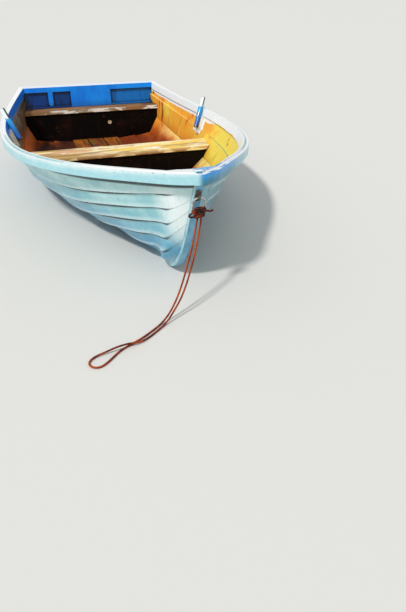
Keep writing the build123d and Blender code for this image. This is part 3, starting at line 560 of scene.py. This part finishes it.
def keelPaint(facts):
    mix = Finish("keelPaint", facts)
    wear = mix.noise("wear")
    sides = mix.paint("pale", "front", mix.share(wear, "sideWear"))
    # The face that looks ahead is darker, painted shade, with a painted sky reflection along its port edge
    front = mix.paint("front", "pale", mix.share(wear, "frontWear"))
    front = mix.paint(front, "skyReflection", mix.share(mix.x, "portEdge"))
    colour = mix.paint(sides, front, mix.share(mix.maths("ABSOLUTE", mix.facing[0]), "facingAhead"))
    # What shows of it in the boat is ochre like the planks
    indoors = mix.times(mix.share(mix.facing[2], "inboardTurn"), mix.share(mix.z, "underHead"))
    colour = mix.paint(colour, mix.paint("ochre", "rust", mix.share(wear, "ochreWear")), indoors)
    head = mix.times(mix.share(mix.facing[2], "upwards"), mix.share(mix.z, "headHeight"))
    colour = mix.paint(colour, "white", head)
    scrape = mix.moved(mix.z, mix.noise("scrape"), "scrapeSpread")
    colour = mix.paint(colour, "scraped", mix.share(scrape, "scrapeHeight"))
    # Painted shade and grime in the corners
    colour = mix.paint(colour, "grime", mix.corners("cornerShadeAndDirt"))
    return mix.finish(colour, mix.share(wear, "roughSpan"), mix.noise("grain"))


dress(keelPaint(backbone), "stem", "keel", "bilge_runner_*")
print("rails and keel painted")

transom = {
    "coat": 0.1, "specular": 0.3, "edge": 0.003, "relief": 0.0008, "roughSpan": (0.3, 0.7, 0.22, 0.42),
    "bright": srgb(0, 146, 255), "deep": srgb(0, 122, 236), "recess": srgb(0, 58, 128),
    "recessPort": srgb(0, 112, 196), "line": srgb(0, 14, 40), "outside": srgb(144, 202, 210),
    "outsideLow": srgb(96, 168, 196), "white": srgb(246, 250, 252), "grime": srgb(34, 46, 50),
    "wear": {"scale": 9.0, "stretch": (1, 1, 0.5), "detail": 4.0, "roughness": 0.6}, "worn": (0.38, 0.66),
    "brush": {"scale": 30.0, "stretch": (0.2, 1, 1)}, "portSide": (-0.1, 0.25),
    "streak": {"scale": 26.0, "stretch": (1, 1, 0.15), "detail": 4.0}, "streaked": (0.5, 0.7, 0.0, 0.4),
    "lowHeight": (0.36, 0.30, 0.0, 0.5), "outsideHeight": (0.30, 0.08), "facingAft": (0.2, 0.5),
    "boardShadow": {"reach": 0.030, "closed": 0.45, "open": 0.90},
    "railShadow": {"reach": 0.030, "closed": 0.45, "open": 0.75},
    "outsideShadeAndDirt": {"reach": 0.014, "closed": 0.40, "open": 0.80},
    "upwards": (0.6, 0.85), "topHeight": (0.430, 0.440, 0.0, 0.9),
}


def transomPaint(facts, recessed):
    mix = Finish("transomRecess" if recessed else "transomPaint", facts)
    wear = mix.noise("wear")
    if recessed:
        inner = mix.paint("recess", "recessPort", mix.share(mix.x, "portSide"))
        inner = mix.paint(inner, "line", mix.patches("streak", "streaked"))
    else:
        inner = mix.paint("bright", "deep", mix.share(wear, "worn"))
        inner = mix.paint(inner, "recess", mix.share(mix.z, "lowHeight"))
    # Painted shadow in the corners: under the top rail and beside the pad and cleat
    inner = mix.paint(inner, "line", mix.corners("boardShadow" if recessed else "railShadow"))
    outer = mix.paint("outside", "outsideLow", mix.share(mix.z, "outsideHeight"))
    # Painted shade and grime in the corners outside
    outer = mix.paint(outer, "grime", mix.corners("outsideShadeAndDirt"))
    colour = mix.paint(inner, outer, mix.share(mix.facing[1], "facingAft"))
    # The top edge is white, a painted highlight where the sun falls on it
    top = mix.times(mix.share(mix.facing[2], "upwards"), mix.share(mix.z, "topHeight"))
    return mix.finish(mix.paint(colour, "white", top), mix.share(wear, "roughSpan"), mix.noise("brush"))


dress(transomPaint(transom, True), "transom_board", "transom_bottom_*")
dress(transomPaint(transom, False), "transom_top_rail_*", "transom_centre_pad", "transom_cleat")

seats = {
    "edge": 0.004, "relief": 0.0016, "roughSpan": (0.3, 0.7, 0.48, 0.72),
    "cream": srgb(254, 238, 180), "white": srgb(255, 252, 244), "yellow": srgb(250, 210, 96),
    "orange": srgb(230, 158, 74), "wood": srgb(160, 116, 70), "dark": srgb(58, 34, 16),
    "edgeWood": srgb(214, 184, 138), "greyEdge": srgb(148, 132, 102), "seatBrown": srgb(96, 58, 26),
    "grain": {"scale": 30.0, "stretch": (0.10, 1, 1), "detail": 5.0, "roughness": 0.62, "twist": 0.25},
    "patch": {"scale": 8.0, "stretch": (0.28, 1, 1), "detail": 5.0, "roughness": 0.65, "shift": (1, 3, 0),
              "twist": 0.6},
    "rest": {"scale": 17.0, "stretch": (0.35, 1, 1), "detail": 4.0, "roughness": 0.6, "shift": (7, 1, 2),
             "twist": 0.5},
    "sternTop": (0.42, 0.62), "sternEdge": (0.40, 0.60), "portHighlight": (-0.10, 0.30, 0.0, 0.10),
    "paintedHighlight": (0.50, 0.62), "sternLow": (0.262, 0.252),
    "starboard": (0.1, -0.55), "thwartTop": (0.46, 0.58), "restTop": (0.50, 0.60), "spotSpread": 0.07,
    "spots": (0.54, 0.60), "spotPlaces": (0.54, 0.46, 0.0, 0.8),
    "bareSpread": 0.12, "bare": (0.54, 0.66, 0.0, 0.8),
    "thwartLow": (0.244, 0.230), "edgeRest": (0.50, 0.60), "grainDark": (0.56, 0.72, 0.0, 0.45),
    "upwards": (0.4, 0.7), "downwards": (-0.4, -0.7), "patchDepth": 0.7,
    "cornerShadeAndDirt": {"reach": 0.02, "closed": 0.35, "open": 0.8},
}


def seatWood(facts, stern):
    mix = Finish("sternSeatWood" if stern else "thwartWood", facts)
    grain, patches, rests = mix.noise("grain"), mix.noise("patch"), mix.noise("rest")
    if stern:
        top = mix.paint("seatBrown", "wood", mix.share(patches, "sternTop"))
        edge = mix.paint("greyEdge", "wood", mix.share(patches, "sternEdge"))
        # Painted highlight: white patches on the edge of the stern seat, a few more of them to port
        paintedHighlight = mix.maths("ADD", mix.share(mix.x, "portHighlight"), rests)
        edge = mix.paint(edge, "white", mix.share(paintedHighlight, "paintedHighlight"))
        edge = mix.paint(edge, "seatBrown", mix.share(mix.z, "sternLow"))
    else:
        starboard = mix.share(mix.x, "starboard")
        top = mix.paint("cream", "yellow", mix.share(patches, "thwartTop"))
        top = mix.paint(top, "white", mix.share(rests, "restTop"))
        spots = mix.times(mix.share(mix.moved(rests, starboard, "spotSpread"), "spots"),
                          mix.share(patches, "spotPlaces"))
        top = mix.paint(top, "orange", spots)
        top = mix.paint(top, "wood", mix.share(mix.moved(grain, starboard, "bareSpread"), "bare"))
        edge = mix.paint("edgeWood", "wood", mix.share(mix.z, "thwartLow"))
        edge = mix.paint(edge, "cream", mix.share(rests, "edgeRest"))
    top = mix.paint(top, "wood", mix.share(grain, "grainDark"))
    colour = mix.paint(edge, top, mix.share(mix.facing[2], "upwards"))
    # Painted shade on the faces that look down
    colour = mix.paint(colour, "dark", mix.share(mix.facing[2], "downwards"))
    # Painted shade and dirt in the corners
    colour = mix.paint(colour, "dark", mix.corners("cornerShadeAndDirt"))
    return mix.finish(colour, mix.share(patches, "roughSpan"), mix.moved(grain, patches, "patchDepth"))


dress(seatWood(seats, False), "thwart")
dress(seatWood(seats, True), "stern_seat")

risers = {
    "specular": 0.12, "edge": 0.002, "relief": 0.0014, "roughSpan": (0.3, 0.7, 0.55, 0.8),
    "black": srgb(5, 2, 2), "brown": srgb(30, 12, 6), "red": srgb(66, 26, 12), "dust": srgb(44, 32, 22),
    "stain": {"scale": 7.0, "detail": 5.0, "roughness": 0.6}, "stained": (0.50, 0.72),
    "spot": {"scale": 20.0, "shift": (5, 1, 0)}, "spots": (0.64, 0.72, 0.0, 0.7),
    "streak": {"scale": 30.0, "stretch": (1, 1, 0.12), "detail": 4.0}, "streaked": (0.60, 0.74, 0.0, 0.35),
    "grain": {"scale": 40.0, "stretch": (0.15, 1, 1), "detail": 4.0},
}


def riserPaint(facts):
    mix = Finish("riserPaint", facts)
    stain = mix.noise("stain")
    colour = mix.paint("black", "brown", mix.share(stain, "stained"))
    colour = mix.paint(colour, "red", mix.patches("spot", "spots"))
    colour = mix.paint(colour, "dust", mix.patches("streak", "streaked"))
    return mix.finish(colour, mix.share(stain, "roughSpan"), mix.noise("grain"))


dress(riserPaint(risers), "thwart_front_riser", "thwart_back_riser", "stern_seat_riser")

floorBoards = {
    "edge": 0.003, "relief": 0.0016, "roughSpan": (0.3, 0.7, 0.50, 0.72),
    "orange": srgb(176, 100, 26), "brown": srgb(104, 50, 14), "moss": srgb(128, 106, 30),
    "dark": srgb(46, 22, 8),
    "grain": {"scale": 34.0, "stretch": (1, 0.08, 1), "detail": 5.0, "roughness": 0.62, "twist": 0.3},
    "grainDark": (0.52, 0.68, 0.0, 0.7),
    "patch": {"scale": 7.0, "stretch": (1, 0.5, 1), "detail": 5.0, "roughness": 0.65, "shift": (4, 2, 1)},
    "worn": (0.42, 0.60), "growth": {"scale": 11.0, "shift": (9, 2, 6)}, "mossy": (0.56, 0.70, 0.0, 0.6),
    "cornerShadeAndDirt": {"reach": 0.02, "closed": 0.35, "open": 0.85},
}


def floorPaint(facts):
    mix = Finish("floorPaint", facts)
    grain, patches = mix.noise("grain"), mix.noise("patch")
    colour = mix.paint("orange", "brown", mix.share(patches, "worn"))
    colour = mix.paint(colour, "moss", mix.patches("growth", "mossy"))
    colour = mix.paint(colour, "dark", mix.share(grain, "grainDark"))
    # Painted shade and dirt in the corners
    colour = mix.paint(colour, "dark", mix.corners("cornerShadeAndDirt"))
    return mix.finish(colour, mix.share(patches, "roughSpan"), grain)


dress(floorPaint(floorBoards), "bottom_board_*", "bearer_*")
print("transom, seats and floor painted")

# Blue posts, cyan above and deeper blue lower down as painted shade, and a black foot that is a
# painted shadow; the neck is white, but black to port as painted shade, and black on its end
posts = {
    "coat": 0.3, "relief": 0.0010, "roughSpan": (0.3, 0.7, 0.25, 0.5),
    "cyan": srgb(30, 166, 232), "blue": srgb(0, 96, 190), "white": srgb(236, 248, 250),
    "black": srgb(16, 20, 34), "wear": {"scale": 22.0, "stretch": (1, 1, 0.5), "detail": 4.0},
    "body": (0.423075, 0.330), "foot": (0.322, 0.306), "shoulder": (0.419075, 0.427075),
    "portFaceShade": (0.15, 0.35), "chips": (0.60, 0.66, 0.0, 0.8),
    "upwards": (0.70, 0.80), "end": (0.46, 0.465),
}


def postPaint(facts):
    mix = Finish("postPaint", facts)
    wear = mix.noise("wear")
    # Painted shade: deeper blue lower down, and a painted shadow in black at the foot
    body = mix.paint("cyan", "blue", mix.share(mix.z, "body"))
    body = mix.paint(body, "black", mix.share(mix.z, "foot"))
    # Painted shade in black on the neck's port side
    neck = mix.paint("white", "black", mix.share(mix.facing[0], "portFaceShade"))
    neck = mix.paint(neck, "blue", mix.share(wear, "chips"))
    colour = mix.paint(body, neck, mix.share(mix.z, "shoulder"))
    top = mix.times(mix.share(mix.facing[2], "upwards"), mix.share(mix.z, "end"))
    return mix.finish(mix.paint(colour, "black", top), mix.share(wear, "roughSpan"), wear)


dress(postPaint(posts), "oar_post_*")

blocks = {
    "edge": 0.003, "relief": 0.0012, "roughSpan": (0.3, 0.7, 0.35, 0.6),
    "white": srgb(246, 248, 244), "cream": srgb(232, 226, 204), "grime": srgb(120, 96, 62),
    "wear": {"scale": 16.0, "stretch": (1, 1, 0.5), "detail": 5.0}, "worn": (0.50, 0.66),
    "cornerShadeAndDirt": {"reach": 0.006, "closed": 0.20, "open": 0.55},
}


def blockPaint(facts):
    mix = Finish("blockPaint", facts)
    wear = mix.noise("wear")
    colour = mix.paint("white", "cream", mix.share(wear, "worn"))
    # Painted shade and grime in the corners
    colour = mix.paint(colour, "grime", mix.corners("cornerShadeAndDirt"))
    return mix.finish(colour, mix.share(wear, "roughSpan"), wear)


dress(blockPaint(blocks), "oar_block_*")

ring = {
    "metallic": 0.6, "edge": 0.001, "relief": 0.0005, "roughSpan": (0.3, 0.7, 0.28, 0.46),
    "zinc": srgb(226, 226, 220), "dull": srgb(140, 140, 138), "rust": srgb(110, 66, 40),
    "spangle": {"scale": 160.0, "detail": 2.0}, "spangled": (0.40, 0.62),
    "pit": {"scale": 70.0, "shift": (3, 3, 1)}, "rusted": (0.60, 0.70, 0.0, 0.7),
}


def galvanizedSteel(facts):
    mix = Finish("galvanizedSteel", facts)
    spangle = mix.noise("spangle")
    colour = mix.paint("dull", "zinc", mix.share(spangle, "spangled"))
    colour = mix.paint(colour, "rust", mix.patches("pit", "rusted"))
    return mix.finish(colour, mix.share(spangle, "roughSpan"), spangle)


# The plate behind the ring has lost its zinc, and is painted dark for the ring's shade on it
eye = {
    "metallic": 0.3, "roughness": 0.7, "edge": 0.001, "relief": 0.0008,
    "bare": srgb(76, 92, 98), "dull": srgb(140, 140, 138), "rust": srgb(110, 66, 40),
    "pit": {"scale": 120.0, "detail": 4.0}, "rusted": (0.42, 0.60),
    "rest": {"scale": 60.0, "shift": (1, 6, 2)}, "zincLeft": (0.60, 0.70),
}


def eyeSteel(facts):
    mix = Finish("eyePlateSteel", facts)
    pits = mix.noise("pit")
    colour = mix.paint("bare", "rust", mix.share(pits, "rusted"))
    colour = mix.paint(colour, "dull", mix.patches("rest", "zincLeft"))
    return mix.finish(colour, facts["roughness"], pits)


plug = {
    "edge": 0.001, "relief": 0.0004, "roughSpan": (0.3, 0.7, 0.4, 0.6),
    "pale": srgb(214, 196, 160), "dark": srgb(120, 96, 62), "wear": {"scale": 90.0}, "worn": (0.5, 0.7),
}


def plugPlastic(facts):
    mix = Finish("plugPlastic", facts)
    wear = mix.noise("wear")
    colour = mix.paint("pale", "dark", mix.share(wear, "worn"))
    return mix.finish(colour, mix.share(wear, "roughSpan"), wear)


dress(galvanizedSteel(ring), "mooring_ring")
dress(eyeSteel(eye), "eye_plate")
dress(plugPlastic(plug), "stern_seat_plug")
print("posts, blocks and metalwork finished")

# One rope of three strands, laid double from the knot to the ground and round a loop. The route
# is in millimetres.
painter = {
    "width": 0.009, "length": 1.807, "lay": 0.034, "strandCount": 3, "strandWidth": 0.0046,
    "strandOut": 0.0022, "sides": 3, "turnSteps": 10, "relief": 0.0004, "roughness": 0.9,
    "light": srgb(164, 62, 12), "dark": srgb(96, 26, 4), "ropeDark": srgb(22, 7, 3), "lit": srgb(214, 108, 30),
    "fuzz": {"scale": 420.0}, "tone": {"scale": 24.0, "shift": (2, 4, 1)}, "toned": (0.36, 0.66),
    "sunward": (-0.45, -0.8, 0.0, 0.7), "hitchHeight": (0.419, 0.424),
    "hitchDark": {"scale": 75.0, "detail": 2.0, "shift": (5, 1, 8)}, "hitchDarkPatches": (0.44, 0.54, 0.15, 0.9),
    "cornerShadeAndDirt": {"reach": 0.003, "closed": 0.35, "open": 0.85},
    "route": [
        (-8, -1255.49, 421.58), (-21, -1268, 380), (-36, -1281, 320), (-55, -1292, 259), (-75, -1302, 199),
        (-96, -1312, 141), (-121, -1323, 88), (-153, -1337, 40), (-193, -1354, 5), (-247, -1397, 5),
        (-303, -1438, 5), (-357, -1466, 5), (-403, -1491, 5), (-436, -1521, 5), (-466, -1551, 5),
        (-499, -1576, 5), (-525, -1575, 5), (-542, -1555, 5), (-540, -1529, 5), (-512, -1505, 6),
        (-468, -1497, 12), (-422, -1490, 22), (-368, -1480, 22), (-322, -1470, 9), (-276, -1442, 5),
        (-228, -1404, 5), (-180, -1366, 7), (-142, -1347, 45), (-106, -1336, 96), (-80, -1326, 149),
        (-59, -1315, 205), (-39, -1304, 263), (-21, -1291, 323), (-5, -1277, 381), (8, -1255.49, 421.58),
    ],
}


def ropeFibre(facts):
    mix = Finish("ropeFibre", facts)
    colour = mix.paint("light", "dark", mix.patches("tone", "toned"))
    colour = mix.paint(colour, "lit", mix.share(mix.facing[0], "sunward"))
    # The hitch is darker in patches
    hitchDark = mix.times(mix.share(mix.z, "hitchHeight"), mix.patches("hitchDark", "hitchDarkPatches"))
    colour = mix.paint(colour, "ropeDark", hitchDark)
    # Painted shade between the strands and turns
    colour = mix.paint(colour, "ropeDark", mix.corners("cornerShadeAndDirt"))
    return mix.finish(colour, facts["roughness"], mix.noise("fuzz"))


ropeMaterial = ropeFibre(painter)
lineSmoothness = {"order": 3, "steps": 12}


def smoothLine(route):
    # Points along the smooth line that a route in metres controls
    curve = bpy.data.curves.new("ropeLine", "CURVE")
    curve.dimensions = "3D"
    spline = curve.splines.new("NURBS")
    spline.points.add(len(route) - 1)
    for point, place in zip(spline.points, route):
        point.co = (*place, 1)
    spline.order_u = lineSmoothness["order"]
    spline.use_endpoint_u = True
    spline.resolution_u = lineSmoothness["steps"]
    holder = bpy.data.objects.new("ropeLine", curve)
    mesh = bpy.data.meshes.new_from_object(holder)
    points = [vertex.co.copy() for vertex in mesh.vertices]
    bpy.data.objects.remove(holder)
    bpy.data.meshes.remove(mesh)
    return points


def evenPoints(points, gap):
    # The same line with its points an even gap apart
    lengths = [0.0]
    for before, after in zip(points, points[1:]):
        lengths.append(lengths[-1] + (after - before).length)
    count = max(2, round(lengths[-1] / gap))
    even, index = [], 0
    for number in range(count + 1):
        wanted = lengths[-1] * number / count
        while index < len(lengths) - 2 and lengths[index + 1] < wanted:
            index += 1
        span = lengths[index + 1] - lengths[index]
        share = (wanted - lengths[index]) / span if span else 0.0
        even.append(points[index].lerp(points[index + 1], share))
    return even


def layRope(name, lines, facts):
    # Strands wound round each line, as one mesh
    curve = bpy.data.curves.new(name, "CURVE")
    curve.dimensions = "3D"
    curve.bevel_depth = facts["strandWidth"] / 2
    curve.bevel_resolution = facts["sides"] - 1
    curve.use_fill_caps = True
    gap = facts["lay"] / facts["turnSteps"]
    for line in lines:
        places = evenPoints(line, gap)
        side = (places[1] - places[0]).orthogonal().normalized()
        frames = []
        for index, place in enumerate(places):
            ahead = places[min(index + 1, len(places) - 1)] - places[max(index - 1, 0)]
            ahead.normalize()
            side = (side - ahead * side.dot(ahead)).normalized()
            frames.append((place, side.copy(), ahead.cross(side)))
        for strand in range(facts["strandCount"]):
            spline = curve.splines.new("POLY")
            spline.points.add(len(frames) - 1)
            for index, (place, across, other) in enumerate(frames):
                turn = 2 * math.pi * (index / facts["turnSteps"] + strand / facts["strandCount"])
                out = across * math.cos(turn) + other * math.sin(turn)
                spline.points[index].co = (*(place + out * facts["strandOut"]), 1)
    holder = bpy.data.objects.new(name, curve)
    mesh = bpy.data.meshes.new_from_object(holder)
    bpy.data.objects.remove(holder)
    rope = bpy.data.objects.new(name, mesh)
    bpy.context.scene.collection.objects.link(rope)
    mesh.materials.clear()
    mesh.materials.append(ropeMaterial)
    for polygon in mesh.polygons:
        polygon.use_smooth = True
    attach(rope, boatBody)
    return rope


painterRoute = [tuple(value / 1000 for value in place) for place in painter["route"]]
painterLine = smoothLine(painterRoute)
painterRope = layRope("painterRope", [painterLine], painter)
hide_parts("painter")

# The hitch on the ring: a loose clump of turns round the bar and the two falls, a bight and a
# tail. Each of its lines is given from its centre, and a rise from the foot of a fall.
hitch = {
    "centre": (0.0, -1.2555, 0.4526), "seed": 7, "looseness": 0.006, "pointsEachTurn": 8,
    "wraps": 4, "wrapRadii": (0.024, 0.015), "wrapRise": 0.0095, "wrapLow": -0.0215,
    "wrapTilt": 0.006, "tiltTurn": 0.6,
    "bar": (0.0, -1.25065, 0.4526), "barTurns": (-0.021, -0.008, 0.006, 0.019), "barRadius": 0.0105,
    "barTwist": 40, "barLooseness": 0.3,
    "fallRises": ((0, 0, -0.001), (0, 0, 0.010), (0, -0.004, 0.020), (0, -0.006, 0.034)),
    "fallDrifts": (0, 0, 0.4, 0),
    "bight": ((-0.012, -0.012, 0.010), (-0.030, -0.020, 0.012), (-0.046, -0.018, 0.002),
              (-0.049, -0.010, -0.012), (-0.036, -0.006, -0.019), (-0.018, -0.010, -0.014),
              (-0.004, -0.014, -0.010)),
    "tail": ((0.006, -0.012, 0.006), (0.024, -0.018, 0.012), (0.040, -0.012, 0.004),
             (0.050, -0.004, -0.002), (0.060, 0.002, 0.002)),
    "crown": ((-0.020, -0.010, 0.020), (-0.010, -0.020, 0.024), (0.006, -0.018, 0.018),
              (0.018, -0.012, 0.022), (0.026, -0.004, 0.012)),
}


def tieHitch(facts, rope):
    centre, bar = Vector(facts["centre"]), Vector(facts["bar"])
    chance = random.Random(facts["seed"])
    each = facts["pointsEachTurn"]

    def loose(share=1.0):
        return share * facts["looseness"] * (chance.random() - 0.5)

    wrap = []
    for index in range(facts["wraps"] * each + 1):
        turn = 2 * math.pi * index / each
        wide, deep = (radius + loose() for radius in facts["wrapRadii"])
        tilt = facts["wrapTilt"] * math.sin(turn + facts["tiltTurn"])
        height = facts["wrapLow"] + facts["wrapRise"] * index / each + loose() + tilt
        wrap.append(centre + Vector((wide * math.cos(turn), deep * math.sin(turn), height)))
    lines = [smoothLine(wrap)]
    for across in facts["barTurns"]:
        loop = []
        for index in range(each + 1):
            turn = 2 * math.pi * index / each + across * facts["barTwist"]
            x = across + loose()
            back = (facts["barRadius"] + loose(facts["barLooseness"])) * math.cos(turn)
            up = (facts["barRadius"] + loose(facts["barLooseness"])) * math.sin(turn)
            loop.append(bar + Vector((x, back, up)))
        lines.append(smoothLine(loop))
    for strand in (painterRoute[0], painterRoute[-1]):
        foot = Vector(strand)
        lines.append(smoothLine([foot + Vector(rise) + Vector((foot.x * drift, 0, 0))
                                 for rise, drift in zip(facts["fallRises"], facts["fallDrifts"])]))
    for part in ("bight", "tail", "crown"):
        lines.append(smoothLine([centre + Vector(place) for place in facts[part]]))
    knot = layRope("painterHitch", lines, rope)
    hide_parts("painter_knot")
    return knot


painterHitch = tieHitch(hitch, painter)
print("painter laid")

studioFloor = {"size": 120, "drop": 0.0004, "colour": srgb(226, 224, 220), "roughness": 0.9}
bpy.ops.mesh.primitive_plane_add(size=studioFloor["size"], location=(0, 0, -studioFloor["drop"]))
ground = bpy.context.active_object
ground.name = "studioFloor"
floorFinish = Finish("studioFloor", studioFloor)
ground.data.materials.append(floorFinish.finish(studioFloor["colour"], studioFloor["roughness"]))
